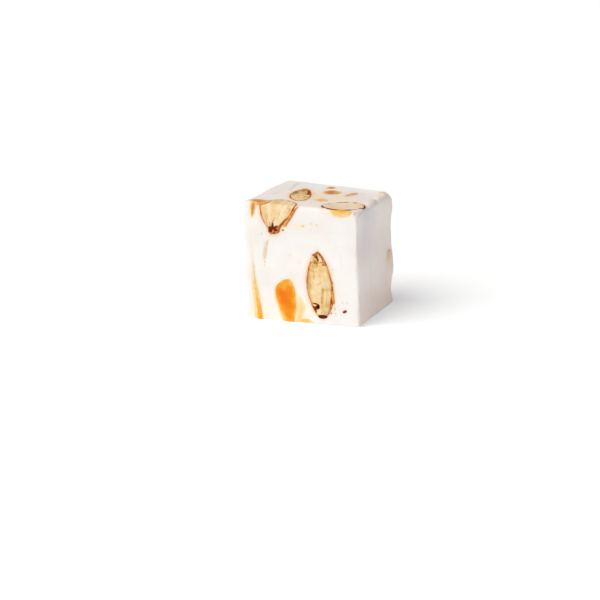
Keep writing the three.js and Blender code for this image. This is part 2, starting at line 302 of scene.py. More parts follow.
def lump_surface(shape, sectors=SECTORS, rings=RINGS):
    """A closed lump. Rings of a superellipse run from its foot to its tip, as wide as its girth there, and
    it can bow sideways and lean its rings. The skin then strays from that by the wobble. Returns points and
    triangles."""
    middle, length, axes = lump_axes(shape)
    s = (1 - np.cos(np.linspace(0, np.pi, rings + 1)[1:-1])) / 2
    angle = np.linspace(0, 2 * np.pi, sectors, endpoint=False)
    s, angle = (g.ravel() for g in np.meshgrid(s, angle, indexing="ij"))
    power = 2 / shape.get("roundness", 2)
    around = [np.sign(t) * np.abs(t) ** power for t in (np.cos(angle), np.sin(angle))]
    sideways = shape["width"] / 2 * girth(shape, s) * around[0]
    outward = shape["depth"] / 2 * girth(shape, s) * around[1]
    bowed = sideways + shape.get("bow", 0) * 4 * s * (1 - s)
    local = np.stack([bowed, length * (s - 0.5) + shape.get("slant", 0) * bowed, outward], axis=1)
    points = middle + local @ axes
    spokes = np.stack([sideways, np.zeros(len(s)), outward], axis=1) @ axes
    spokes /= np.linalg.norm(spokes, axis=1, keepdims=True)
    points += spokes * wobble(shape, points)[:, None]
    ends = middle + np.array([[0, -length / 2, 0], [0, length / 2, 0]]) @ axes
    points = np.concatenate([ends[:1], points, ends[1:]])

    ring, sector = (g.ravel() for g in np.meshgrid(np.arange(rings), np.arange(sectors), indexing="ij"))

    def corner(r, c):
        inside = 1 + (r - 1) * sectors + c % sectors
        return np.where(r == 0, 0, np.where(r == rings, len(points) - 1, inside))

    a, b = corner(ring, sector), corner(ring, sector + 1)
    c, d = corner(ring + 1, sector + 1), corner(ring + 1, sector)
    triangles = np.concatenate([np.stack([a, b, c], 1), np.stack([a, c, d], 1)])
    distinct = (np.diff(np.sort(triangles, axis=1), axis=1) > 0).all(axis=1)
    return points, triangles[distinct]


def lump_place(shapes, points):
    """Where points lie in a lump: across, along and outward from the first shape's middle, and how deep
    under the skin, which is negative outside. All in mm. Of joined shapes the deepest counts."""
    depths = []
    for shape in shapes:
        middle, length, axes = lump_axes(shape)
        across, along, outward = ((points - middle) @ axes.T).T
        upright = along - shape.get("slant", 0) * across
        s = np.clip(upright / length + 0.5, 1e-6, 1 - 1e-6)
        sideways = across - shape.get("bow", 0) * 4 * s * (1 - s)
        power = shape.get("roundness", 2)
        wide = shape["width"] / 2 * girth(shape, s)
        deep = shape["depth"] / 2 * girth(shape, s)
        share = ((np.abs(sideways) / wide) ** power + (np.abs(outward) / deep) ** power) ** (1 / power)
        share = np.maximum(share, 1e-6)
        radial = np.hypot(sideways, outward)
        beyond = np.maximum(np.abs(upright) - length / 2, 0)
        under = radial * (1 / share - 1)
        within = (share < 1) & (beyond == 0)
        depths.append(np.where(within, under, -np.hypot(under, beyond)) + wobble(shape, points))
    middle, length, axes = lump_axes(shapes[0])
    return (points - middle) @ axes.T, np.max(depths, axis=0)


def points_of(obj):
    """The object's vertices, as an array."""
    flat = np.empty(len(obj.data.vertices) * 3, np.float32)
    obj.data.vertices.foreach_get("co", flat)
    return flat.reshape(-1, 3).astype(float)


def put_points(obj, points):
    """Moves the object's vertices to those points."""
    obj.data.vertices.foreach_set("co", points.astype(np.float32).ravel())


def normals_of(obj):
    """The vertices' outward directions, as an array."""
    flat = np.empty(len(obj.data.vertices) * 3, np.float32)
    obj.data.vertex_normals.foreach_get("vector", flat)
    return flat.reshape(-1, 3).astype(float)


def paint(obj, name, values):
    """Stores one number or one vector for each vertex."""
    kind, field = ("FLOAT", "value") if values.ndim == 1 else ("FLOAT_VECTOR", "vector")
    layer = obj.data.attributes.new(name, kind, "POINT")
    layer.data.foreach_set(field, values.astype(np.float32).ravel())


def near(first, second):
    """Whether two objects' boxes meet."""
    a, b = points_of(first), points_of(second)
    return bool(np.all(a.max(0) > b.min(0)) and np.all(b.max(0) > a.min(0)))


def cut_lump(name, shapes, cell, proud=False):
    """The lump that the knife leaves: its shapes joined, trimmed by the block and by the earlier lumps it
    meets, then covered anew by even cells of that size. That rounds its rim and shrinks it by half a cell,
    so it is swollen by as much, and stays tight in the nougat."""
    lump = closed_mesh(name, *lump_surface(shapes[0]))
    for shape in shapes[1:]:
        tool = closed_mesh("tool", *lump_surface(shape))
        carve(lump, tool, "UNION")
        bpy.data.objects.remove(tool)
    whole = bpy.data.objects.new(name + "_whole", lump.data.copy())
    bpy.context.scene.collection.objects.link(whole)
    if not proud:
        carve(lump, block, "INTERSECT")
    for other, _ in earlier:
        if near(whole, other):
            carve(lump, other, "DIFFERENCE")
    earlier.append((whole, shapes))
    remesh = lump.modifiers.new("even", "REMESH")
    remesh.mode = "VOXEL"
    remesh.voxel_size = cell
    settle(lump)
    put_points(lump, points_of(lump) + 0.5 * cell * normals_of(lump))
    lump.data.update()
    return lump


def finish_piece(obj, material, slot, *nodes):
    """Takes a piece from millimetres to metres, shades it smooth, gives it its material, ties it to the body,
    and hides the imported parts of its nodes.
    """
    put_points(obj, points_of(obj) * 0.001)
    obj.data.shade_smooth()
    obj.data.update()
    obj.data.materials.clear()
    obj.data.materials.append(material)
    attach(obj, "root")
    if nodes:
        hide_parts(*nodes)


# ---- Almonds --------------------------------------------------------------------------------
# Whole blanched-cream kernels in a thin brown skin. The knife has opened them: the cut is waxy
# and pale with a faint lengthwise grain, and the skin shows as a broken brown line at its rim.

def blob(flat, centre, radii, turn=0.0):
    """1 inside an ellipse, falling to 0 just outside it. flat holds the points' two face coordinates."""
    c, s = math.cos(turn), math.sin(turn)
    off = (flat - centre) @ np.array([[c, -s], [s, c]]) / radii
    return smooth(1.4 - np.hypot(off[:, 0], off[:, 1]), 0, 0.8)


def stroke(flat, start, end, width, end_width=None):
    """1 along a line of that width, which may change to end_width, falling to 0 just beside it."""
    start, run = np.array(start), np.array(end) - start
    share = np.clip((flat - start) @ run / (run @ run), 0, 1)
    off = np.linalg.norm(flat - start - share[:, None] * run, axis=1)
    half = (width + share * ((end_width or width) - width)) / 2
    return smooth(1.4 - off / half, 0, 0.8)


def node(tree, kind, sockets=None, stops=None, **settings):
    """Adds a shader node: its settings, the values or links of its sockets, and a colour ramp's stops."""
    made = tree.nodes.new("ShaderNode" + kind)
    for name, value in settings.items():
        setattr(made, name, value)
    for name, value in (sockets or {}).items():
        if isinstance(value, bpy.types.NodeSocket):
            tree.links.new(value, made.inputs[name])
        else:
            made.inputs[name].default_value = value
    if stops:
        elements = made.color_ramp.elements
        while len(elements) < len(stops):
            elements.new(1.0)
        for element, (position, colour) in zip(elements, stops):
            element.position = position
            element.color = linear(colour)
    return made


def blank_material(name):
    """A new material with an empty node tree and its output node."""
    material = bpy.data.materials.new(name)
    material.use_nodes = True
    material.node_tree.nodes.clear()
    return material, material.node_tree, node(material.node_tree, "OutputMaterial")


def painted(tree, *names):
    """The values that paint stored under those names."""
    return [node(tree, "Attribute", attribute_name=name).outputs["Fac"] for name in names]


def speckle(tree, vector, scale, detail):
    """Noise over those coordinates, from 0 to 1."""
    return node(tree, "TexNoise", {"Vector": vector, "Scale": scale, "Detail": detail}).outputs["Fac"]


def multiply_add(tree, value, factor, addend):
    """value times factor, plus addend."""
    return node(tree, "Math", {0: value, 1: factor, 2: addend}, operation="MULTIPLY_ADD").outputs[0]


def ramp(tree, value, stops):
    """The colour between the stops at that value."""
    return node(tree, "ValToRGB", {"Fac": value}, stops=stops).outputs["Color"]


def coated(tree, colour, coats):
    """The colour with coats laid over it one after the other, each given as its share and its colour."""
    for share, coat in coats:
        colour = node(tree, "Mix", {0: share, MIX_A: colour, MIX_B: coat},
                      data_type="RGBA").outputs[MIX_RESULT]
    return colour


def surface(tree, output, height, strength, distance, sockets):
    """Gives the material its shader. Its bumps follow height, with that strength and distance in metres."""
    sockets["Normal"] = node(tree, "Bump", {"Height": height, "Strength": strength,
                                            "Distance": distance}).outputs["Normal"]
    shader = node(tree, "BsdfPrincipled", sockets)
    tree.links.new(shader.outputs["BSDF"], output.inputs["Surface"])


PER_MM = 1000.0           # a texture scale of one wave per millimetre, where coordinates are metres
MIX_A, MIX_B, MIX_RESULT = 6, 7, 2    # the colour sockets of a mix node

# Cut almond kernel in its brown skin: waxy, a little translucent, satin rather than shiny. Its grain
# runs lengthwise about 0.5 mm apart. Attributes say where the skin, the dark ends and the tone lie, and
# where nougat is smeared over it as a veil.
kernel_material, tree, output = blank_material("cut almond kernel")
grain = node(tree, "Attribute", attribute_name="grain").outputs["Vector"]
skin, stain, tone, veil = painted(tree, "skin", "stain", "tone", "veil")
stretched = node(tree, "Mapping", {"Vector": grain, "Scale": (1.0, 0.16, 1.0)}).outputs["Vector"]
fibres = speckle(tree, stretched, 1.4, 4.0)
grit = speckle(tree, grain, 2.6, 4.0)
kernel = ramp(tree, multiply_add(tree, grit, 0.34, multiply_add(tree, fibres, 0.42, tone)), [
    (0.1, "#94703a"), (0.35, "#cda563"), (0.6, "#e9c98e"), (0.78, "#f2d8a6"), (1.0, "#f8e8cc")])
stain_colour = ramp(tree, stain, [
    (0.0, "#e8b070"), (0.3, "#cf7a32"), (0.55, "#9e4612"), (0.8, "#662206"), (1.0, "#341208")])
stain_share = node(tree, "MapRange", {"Value": stain, 1: 0.02, 2: 0.4}).outputs[0]
ragged = multiply_add(tree, grit, 0.35, skin)
skin_share = node(tree, "MapRange", {"Value": ragged, 1: 0.12, 2: 0.25}).outputs[0]
skin_colour = ramp(tree, multiply_add(tree, skin, 0.12, fibres), [
    (0.36, "#e9a862"), (0.48, "#cf8442"), (0.6, "#b0642c"), (0.74, "#84421a")])
kernel = coated(tree, kernel, [
    (stain_share, stain_colour), (skin_share, skin_colour), (veil, linear("#f3e9e0"))])
surface(tree, output, node(tree, "Math", {0: fibres, 1: grit}, operation="ADD").outputs[0], 0.4, 0.00015, {
    "Base Color": kernel, "Roughness": 0.5, "IOR": 1.46, "Specular IOR Level": 0.15,
    "Subsurface Weight": 0.2, "Subsurface Radius": (1.0, 0.7, 0.4), "Subsurface Scale": 0.0006})

KERNEL_CELL = 0.14        # mm, for marks of about 0.3 mm
SHAVING_CELL = 0.12       # mm, for the thinnest pieces
SKIN_WIDTH = 0.42         # mm, how wide the cut skin shows at a kernel's rim
WANDER = 0.13             # mm, how far the outlines of marks stray


def almond(name, shapes, features, skin_width=SKIN_WIDTH, proud=False, cell=KERNEL_CELL, face=(0, 2)):
    """One almond. features takes the points, their face coordinates (which wander a little, so that marks
    have ragged outlines) and the depth under the skin. It gives any of: relief of the cut in mm, tone from
    -0.5 to 0.5, stain, how much wider than skin_width the skin is in mm, and the share of nougat smeared
    over it."""
    piece = cut_lump(name, shapes, cell, proud)
    points = points_of(piece)
    local, depth = lump_place(shapes, points)
    wander = np.stack([noise(points, 0.7, 21), noise(points, 0.7, 22)], axis=1)
    zero = np.zeros(len(points))
    marks = dict.fromkeys(("relief", "tone", "stain", "wider", "veil"), zero)
    marks.update({key: value + zero for key, value in
                  features(points, points[:, face] + WANDER * wander, depth).items()})
    inside = smooth(depth, 0.05, 0.45)
    patches = noise(points, 1.9, 23)
    rough = 0.05 * patches + 0.035 * noise(points, 0.9, 24) + 0.02 * noise(points, 0.45, 25)
    points += normals_of(piece) * (inside * (marks["relief"] + rough))[:, None]
    points[:, 2] = np.maximum(points[:, 2], 0)
    put_points(piece, points)
    width = skin_width + marks["wider"] + 0.16 * noise(points, 1.5, 26) + 0.08 * noise(points, 0.6, 27)
    paint(piece, "grain", local)
    paint(piece, "skin", np.minimum(width, 1.2) - depth)
    paint(piece, "stain", np.clip(marks["stain"], 0, 1))
    near_skin = np.exp(-np.maximum(depth - width, 0) / 0.4)
    mottled = 0.13 * patches + 0.09 * noise(points, 0.8, 28)
    paint(piece, "tone", 0.38 + marks["tone"] - 0.22 * near_skin + mottled)
    paint(piece, "veil", np.clip(marks["veil"], 0, 1))
    finish_piece(piece, kernel_material, "almond", name)


def front_marks(points, flat, depth):
    """The kernel split lengthwise on the front face. It has a black heel and a pit beside it, a channel
    with a pale ridge where the other half broke away, a scorched tip, and under it an olive-brown patch
    and a hollow, darkened partly with painted shade."""
    u, v = flat[:, 0], flat[:, 1]
    heel = smooth(3.0 + 0.5 * smooth(u, 8.0, 8.7) - v, 0, 0.3)
    pit = blob(flat, (5.4, 5.4), (0.55, 0.75))
    pit_arm = stroke(flat, (4.1, 6.4), (5.2, 6.2), 0.45)
    pit_rim = np.maximum.reduce([blob(flat, (4.7, 5.05), (0.62, 0.6)), blob(flat, (4.65, 4.5), (0.45, 0.4)),
                                 blob(flat, (4.95, 3.85), (0.28, 0.4)), blob(flat, (3.9, 5.2), (0.35, 0.5))])
    pit_flesh = blob(flat, (4.5, 5.8), (0.23, 0.15))
    channel = stroke(flat, (7.2, 10.6), (6.8, 6.8), 1.0, 0.8)
    broken = smooth(u, 7.0, 7.5) * smooth(11.2 - v, 0, 0.3) * smooth(v, 6.4, 7.0)
    ridge = stroke(flat, (8.0, 10.6), (7.8, 7.6), 0.7)
    line = stroke(flat, (8.75, 10.8), (8.5, 7.2), 0.5)
    shelf = stroke(flat, (6.9, 11.1), (9.2, 11.2), 0.4)
    low_flesh = smooth(u, 5.6, 7.0) * smooth(7.0 - v, 0, 1.0)
    ticks = np.maximum.reduce([stroke(flat, (x, 4.4), (x, 3.2), 0.24) for x in (6.75, 7.5, 8.2)])
    step = stroke(flat, (7.35, 12.9), (8.9, 11.4), 0.16)
    mauve = blob(flat, (8.2, 12.3), (1.15, 0.85), -0.5)
    scorch = stroke(flat, (6.1, 22.4), (4.4, 21.4), 0.8, 0.4)
    black = np.maximum(stroke(flat, (5.25, 21.3), (5.95, 20.05), 0.85, 0.5),
                       blob(flat, (5.2, 21.5), (0.45, 0.3)))
    tip_flesh = blob(flat, (6.65, 20.75), (0.4, 0.75), 0.25) * smooth(depth, 0.6, 0.9)
    crumbs = np.maximum(stroke(flat, (6.6, 19.5), (7.35, 19.45), 0.24),
                        blob(flat, (7.75, 18.85), (0.45, 0.35)))
    bruise_and_shade = np.maximum(blob(flat, (5.3, 19.45), (1.0, 0.6)), 0.5 * blob(flat, (6.9, 19.3), (0.8, 0.35)))
    hollow = blob(flat, (5.0, 18.5), (0.95, 1.0))
    hollow_edge = stroke(flat, (5.85, 19.4), (5.75, 18.0), 0.24)
    dent = blob(flat, (4.7, 15.1), (0.42, 0.68))
    left_dark = np.maximum.reduce([1.3 * blob(flat, (3.3, 19.2), (0.42, 0.6)),
                                   blob(flat, (2.0, 13.6), (0.5, 1.2)),
                                   blob(flat, (2.45, 8.9), (0.32, 0.35))])
    scratch = stroke(flat, (5.45, 12.15), (6.95, 13.35), 0.26, 0.18)
    chips = np.maximum(stroke(flat, (6.7, 6.75), (7.4, 6.95), 0.18), blob(flat, (3.55, 6.5), (0.5, 0.3)))
    right_side = smooth(u - 6.2, 0.0, 1.5)
    return {
        "relief": (-0.8 * pit - 0.2 * channel + 0.08 * ridge - 0.06 * line - 0.06 * shelf - 0.08 * step
                   - 0.16 * black - 0.1 * bruise_and_shade - 0.14 * hollow - 0.16 * dent - 0.1 * scratch
                   + 0.1 * crumbs - 0.08 * heel - 0.2 * pit_arm - 0.06 * mauve),
        # In the tone, the channel, the hollow, its edge and the olive-brown patch are darker partly as
        # painted shade in those recesses, and the lighter patch at 7.85, 16.6 is a painted highlight.
        "tone": (-0.3 * channel - 0.3 * pit_arm - 0.1 * broken + 0.06 * ridge - 0.1 * line - 0.14 * shelf
                 - 0.1 * step - 0.4 * bruise_and_shade - 0.14 * low_flesh - 0.24 * ticks - 0.1 * smooth(v, 13.0, 14.5)
                 - 0.26 * hollow - 0.3 * hollow_edge - 0.18 * dent - 0.06 * scratch - 0.12 * mauve
                 + 0.1 * blob(flat, (7.85, 16.6), (0.8, 1.2))
                 - 0.16 * stroke(flat, (6.5, 18.3), (6.35, 14.6), 0.7)
                 - 0.18 * blob(flat, (2.75, 12.7), (0.75, 3.2)) - 0.1 * blob(flat, (8.35, 6.1), (0.7, 0.9))
                 + 0.08 * blob(flat, (4.9, 9.5), (1.6, 2.4)) - 0.2 * blob(flat, (4.55, 16.5), (0.22, 0.32))),
        "stain": np.maximum.reduce([pit, heel, 0.65 * pit_arm, 0.74 * pit_rim, 0.4 * scorch, 0.75 * black,
                                    0.5 * crumbs, 0.6 * left_dark, 0.16 * scratch, 0.3 * chips, 0.08 * dent,
                                    0.14 * bruise_and_shade, 0.05 * hollow, 0.04 * channel]) * (1 - 0.85 * pit_flesh),
        "wider": (0.5 * right_side * smooth(v, 17.6, 19.2) + 0.8 * smooth(v, 20.6, 22.2)
                  + 0.3 * right_side * smooth(12.0 - v, 0, 1.0) * smooth(v, 5.5, 6.5)
                  + 0.2 * right_side * smooth(14.2 - v, 0, 0.6)
                  - 0.3 * blob(flat, (8.7, 18.2), (0.4, 0.4)) - 1.2 * blob(flat, (3.5, 21.0), (0.9, 1.3))
                  + 0.16 * (1 - right_side) * smooth(v, 11.5, 13.0) * smooth(20.0 - v, 0, 1)
                  - 0.12 * (1 - right_side) * smooth(8.5 - v, 0, 1)),
        "veil": np.maximum.reduce([0.5 * pit_flesh, 0.45 * blob(flat, (3.3, 21.2), (0.8, 1.0)),
                                   0.3 * tip_flesh * (1 - crumbs), 0.4 * mauve, 0.1 * ridge,
                                   0.2 * smooth(5.2 - v, 0, 0.8) * smooth(u, 5.8, 6.6) * (1 - heel)]),
    }


almond("almond_front", [
    dict(foot=(7.2, FRONT, 1.8), tip=(5.8, FRONT, 22.8), facing=(0, -1, 0),
         width=8.5, depth=13, foot_power=0.6, tip_power=0.7, bow=-0.15),
], front_marks)

# ---- Caramels -------------------------------------------------------------------------------
# Boiled-sugar caramel that stayed in lumps: clear and deep orange where it is thick, honey yellow
# where it thins out over the white nougat. The cut has flowed a little, so it is smooth and domed.

CARAMEL_CELL = 0.16       # mm
DOME = 0.08               # mm, how far the cut has bulged in its middle


def caramel_material_of(name, stops, roughness):
    """Clear caramel. Its colour deepens with the thickness under the cut, from the first stop at the rim to
    the last at over 2 mm. It scatters light inside and has a wet, wavy gloss."""
    material, tree, output = blank_material(name)
    thick, veil = painted(tree, "thick", "veil")
    where = node(tree, "TexCoord").outputs["Object"]
    cloud = speckle(tree, where, 0.7 * PER_MM, 4.0)
    waves = speckle(tree, where, 1.1 * PER_MM, 2.0)
    depth = multiply_add(tree, thick, 0.4, multiply_add(tree, cloud, 0.8, -0.4))
    colour = coated(tree, ramp(tree, depth, stops), [(veil, linear("#f8ecdc"))])
    surface(tree, output, waves, 0.3, 0.0003, {
        "Base Color": colour, "Roughness": roughness, "IOR": 1.5, "Specular IOR Level": 0.13,
        "Subsurface Weight": 0.3, "Subsurface Radius": (1.0, 0.45, 0.12), "Subsurface Scale": 0.0008})
    return material


# Three depths of boiling: honey is the palest, boiled is a strong orange, and browned is nearly burnt
# and a little duller on its cut.
orange_caramel = caramel_material_of("boiled caramel", [
    (0.0, "#f9c462"), (0.14, "#f7ae34"), (0.4, "#f3941a"), (0.85, "#ed7a05")], 0.3)
honey_caramel = caramel_material_of("honey caramel", [
    (0.0, "#fde3b4"), (0.2, "#fbd283"), (0.5, "#f7bb4e"), (1.0, "#f0a02c")], 0.3)
browned_caramel = caramel_material_of("browned caramel", [
    (0.0, "#f2d09e"), (0.15, "#e9b06a"), (0.45, "#da9646"), (1.0, "#bb742c")], 0.36)


def caramel(name, slot, material, shapes, veil=lambda points: 0.0, extra=lambda points: 0.0,
            thickest=lambda points: 3.0):
    """One caramel lump, domed over the cut. veil gives the share of nougat smeared over it. Its colour
    follows the depth under its skin, up to thickest, and what extra adds to that, all in mm."""
    piece = cut_lump(name, shapes, CARAMEL_CELL)
    points = points_of(piece)
    _, depth = lump_place(shapes, points)
    dome = DOME * smooth(depth, 0, 0.9) + 0.04 * smooth(depth, 0.1, 0.6) * noise(points, 1.5, 31)
    points += normals_of(piece) * dome[:, None]
    points[:, 2] = np.maximum(points[:, 2], 0)
    put_points(piece, points)
    paint(piece, "thick", np.minimum(depth, thickest(points)) + extra(points))
    paint(piece, "veil", np.clip(veil(points) + np.zeros(len(points)), 0, 1))
    finish_piece(piece, material, slot, name)


# The drop that hangs over the top left corner, and the flat patch it came from.
caramel("caramel_corner", "browned_caramel", browned_caramel, [
    dict(foot=(-14.5, FRONT + 0.4, 38.5), tip=(-15.25, FRONT - 0.3, 32.6), facing=(0, -1, 0.2),
         width=1.2, depth=3, tip_power=0.8),
    dict(foot=(-10.6, -14.3, 37.2), tip=(-16.2, -13.0, 37.5), facing=(0, -0.2, 1),
         width=4.0, depth=2.6),
], extra=lambda p: 0.5 * smooth(36.8 - p[:, 2], 0, 0.6))

# ---- The corner kernel ----------------------------------------------------------------------
# The kernel cut across the top front edge stands on its tip. Its grain fans out from there, the
# tip is scorched black in two lobes, and a split runs up from it.

TIP = (-8.9, 27.5)        # x and z, where the grain starts


def corner_marks(points, flat, depth):
    """Two black lobes and orange flecks at the tip, a stem and a tan notch above them, and grain that fans
    out. The skin is broken on the left and doubled on the right."""
    u, v = flat[:, 0], flat[:, 1]
    lobes = np.maximum.reduce([blob(flat, (-9.3, 28.7), (0.75, 1.1)), blob(flat, (-8.45, 29.2), (0.8, 0.55)),
                               blob(flat, (-7.55, 28.8), (0.8, 1.1)), blob(flat, (-6.95, 29.6), (0.6, 0.5)),
                               stroke(flat, (-8.5, 29.6), (-8.35, 30.6), 0.8, 0.5)])
    notch = np.maximum(stroke(flat, (-8.5, 30.7), (-7.7, 32.4), 0.6, 0.25),
                       stroke(flat, (-9.3, 31.0), (-9.2, 29.9), 0.4, 0.3))
    fleck = np.maximum.reduce([blob(flat, (-9.3, 27.6), (0.42, 0.3)), blob(flat, (-7.6, 27.8), (0.45, 0.32)),
                               blob(flat, (-8.45, 27.7), (0.25, 0.6))])
    angle = np.arctan2(u - TIP[0], v - TIP[1])
    reach = np.hypot(u - TIP[0], v - TIP[1])
    fan = noise(np.stack([angle, reach, points[:, 1]], axis=1), (0.1, 12.0, 30.0), 41)
    rays = smooth(reach, 2.5, 5) * fan
    right_side = smooth(u - 0.62 * (v - 30), -8, -6.5)
    top_rim = stroke(flat, (-12.3, 36.2), (-10.0, 36.9), 0.36, 0.2)
    return {
        "relief": -0.26 * lobes - 0.18 * notch + 0.07 * rays,
        "tone": (0.04 + 0.24 * rays - 0.22 * stroke(flat, (-5.3, 31.0), (-2.6, 35.3), 0.5)
                 + 0.06 * smooth(u, -12, -7) - 0.16 * blob(flat, (-10.6, 32.5), (0.7, 1.8), -0.3)),
        "stain": np.maximum.reduce([0.78 * lobes * (1 - fleck), 0.3 * notch, 0.36 * fleck,
                                    0.16 * blob(flat, (-10.4, 30.4), (0.5, 1.0)), 0.42 * top_rim]),
        "wider": ((0.42 - 0.22 * smooth(v, 31, 33)) * right_side - 0.1
                  + 0.16 * noise(points, 1.1, 48) * (1 - right_side)),
    }


almond("almond_corner", [
    dict(foot=(-3.7, -14.4, 50.5), tip=(-9.2, FRONT + 0.1, 27.1), facing=(0, -1, -0.1),
         width=13.3, depth=11.6, tip_power=0.88, roundness=1.9),
    dict(foot=(-6.2, FRONT + 0.2, 28.7), tip=(-10.15, FRONT + 0.2, 28.2), facing=(0, -1, 0),
         width=2.2, depth=3),
    dict(foot=(-12.3, FRONT + 0.1, 38.2), tip=(-10.3, FRONT + 0.1, 29.9), facing=(0, -1, 0),
         width=2.3, depth=4),
], corner_marks)

# ---- The other lumps of the front face ------------------------------------------------------
# A thin shaving of kernel, the tall orange caramel that runs out of the foot, and the pale one
# that narrows up the left edge, where the knife smeared nougat over it.

def shaving_marks(points, flat, depth):
    """A thin shaving of kernel with no skin, half smeared over by nougat."""
    return {"tone": -0.04, "wider": -1, "veil": 0.5 + 0.2 * noise(points, 1.2, 42)}


almond("almond_sliver_front", [
    dict(foot=(-11.65, FRONT, 19.3), tip=(-10.35, FRONT, 25.5), facing=(0, -1, 0),
         width=0.95, depth=5, tip_power=0.8, bow=-0.4),
], shaving_marks, cell=SHAVING_CELL)


def front_thickest(points):
    """How thick the front caramel is at most: thin at its foot and its top, thickest halfway up."""
    return np.interp(points[:, 2], [0.6, 2.0, 3.8, 6.0, 8.6, 10.2, 11.6], [0.5, 0.8, 1.2, 1.9, 1.7, 0.7, 0.3])


def front_extra(points):
    """Thicker on its left, thinner where its left side runs out at the foot, and cloudy."""
    left = 0.4 * smooth(-points[:, 0], 4.8, 6.6) * smooth(points[:, 2], 5.0, 9.0)
    run_out = 0.6 * smooth(-4.9 - points[:, 0], 0, 0.6) * smooth(3.4 - points[:, 2], 0, 2)
    return 0.05 + left - run_out + 0.25 * noise(points, 1.2, 32)


caramel("caramel_front", "caramel", orange_caramel, [
    dict(foot=(-4.3, FRONT, -9), tip=(-6.25, FRONT, 12.6), facing=(0, -1, 0),
         width=6.2, depth=10, foot_power=1.3, tip_power=0.3, roundness=2.2, bow=1.15, slant=0.5),
], thickest=front_thickest, extra=front_extra)
caramel("caramel_streak", "honey_caramel", honey_caramel, [
    dict(foot=(-13.14, FRONT, -7), tip=(-15.75, FRONT, 23), facing=(0, -1, 0),
         width=2.2, depth=6, foot_power=0.4, tip_power=1.8, bow=-0.55),
], veil=lambda p: 0.25 * smooth(p[:, 2], 8, 18) + 0.45 * smooth(p[:, 2], 15, 22),
   extra=lambda p: (0.55 + 1.1 * (p[:, 0] + 13.5 + 0.12 * (p[:, 2] + 7))) * smooth(10 - p[:, 2], 0, 9))

# ---- The top face ---------------------------------------------------------------------------
# Two kernels and a narrow shard of one, a pale chip, and four caramels: one at the front edge,
# two browned ones at the back, and a pale one between the kernels.

def hollow_marks(points, flat, depth):
    """The kernel whose two halves the knife opened at a step: the back half has broken out lower and browner,
    and is painted darker towards its right with painted shade in the hollow, and its wall on the right is
    painted dark as its shadow."""
    behind = smooth((flat - (-4.5, -1.8)) @ (-0.485, 0.875), -0.1, 0.25)
    towards_wall = flat @ (0.92, 0.39)
    wall_shadow = smooth(towards_wall, -3.35, -2.85)
    wrinkles = noise(points, (0.6, 2.5, 2.5), 43)
    mottles = smooth(noise(points, 1.3, 49), 0.1, 0.5)
    # Painted shade in the hollow: the back half darker towards its right wall, and the wall stained dark.
    return {
        "relief": -0.65 * behind * smooth(depth, 0.2, 1.2) + 0.05 * wrinkles - 0.03 * mottles,
        "tone": (0.03 - (0.17 + 0.24 * smooth(towards_wall, -5.0, -3.2)) * behind + 0.08 * wrinkles
                 - 0.2 * mottles * (1 - behind)),
        "stain": np.maximum(0.66 * wall_shadow * behind, 0.12 * mottles * (1 - behind)),
        "wider": 0.14 * noise(points, 0.9, 64) - 0.02,
    }


almond("almond_top_left", [
    dict(foot=(-2.6, -8.8, TOP + 0.1), tip=(-6.9, 7.2, TOP + 0.7), facing=UPWARD,
         width=6.5, depth=11, tip_power=0.72, bow=-0.3),
], hollow_marks, face=(0, 1))


def pale_marks(points, flat, depth):
    """A pale kernel cut level with the top. Its skin is broken into dashes, and its right end is dark."""
    end = np.maximum(blob(flat, (18.7, -8.1), (0.4, 0.8)),
                     0.7 * stroke(flat, (18.5, -7.6), (17.4, -4.6), 0.4))
    dashes = smooth(noise(points, 1.2, 44), -0.3, 0.05)
    rim = smooth(0.8 - depth, 0, 0.3)
    return {"tone": 0.06 - 0.1 * noise(points, 3.0, 45), "wider": -1, "veil": 0.4 * smooth(depth, 0.9, 1.5),
            "stain": np.maximum(0.85 * end, (0.08 + 0.82 * dashes) * rim)}


almond("almond_top_right", [
    dict(foot=(6.4, -10.5, TOP - 0.4), tip=(18.7, -8.1, TOP - 0.9), facing=UPWARD,
         width=9.8, depth=9, foot_power=0.45, tip_power=0.55, slant=-0.33),
], pale_marks, skin_width=0.3, face=(0, 1))
caramel("caramel_top_edge", "honey_caramel", honey_caramel, [
    dict(foot=(10.8, FRONT + 0.3, 35.75), tip=(17.0, FRONT + 0.1, 35.3), facing=(0, -1, 0.6),
         width=2.6, depth=5),
], extra=lambda p: 0.15)
caramel("caramel_top_brown", "browned_caramel", browned_caramel, [
    dict(foot=(3.6, 3.1, TOP + 0.1), tip=(2.2, 7.1, TOP + 0.2), facing=UPWARD,
         width=5.3, depth=5, roundness=2.1),
], veil=lambda p: 0.08, extra=lambda p: -0.28 * (p[:, 1] - 4.8))
caramel("caramel_top_back", "browned_caramel", browned_caramel, [
    dict(foot=(0.7, 9.1, TOP + 0.3), tip=(0.1, 11.6, TOP + 0.4), facing=UPWARD, width=2.5, depth=3),
], extra=lambda p: 0.25)
caramel("caramel_top_pale", "honey_caramel", honey_caramel, [
    dict(foot=(3.6, -6.4, TOP - 0.2), tip=(2.9, -2.9, TOP - 0.1), facing=UPWARD, width=3.6, depth=4),
], veil=lambda p: 0.2, extra=lambda p: 0.25)


def shard_marks(points, flat, depth):
    """A narrow end of a kernel, mostly skin."""
    return {"tone": -0.04, "stain": 0.1 + 0.25 * smooth(0.35 - depth, 0, 0.2),
            "wider": 0.2 * noise(points, 2.0, 56) - 0.34}


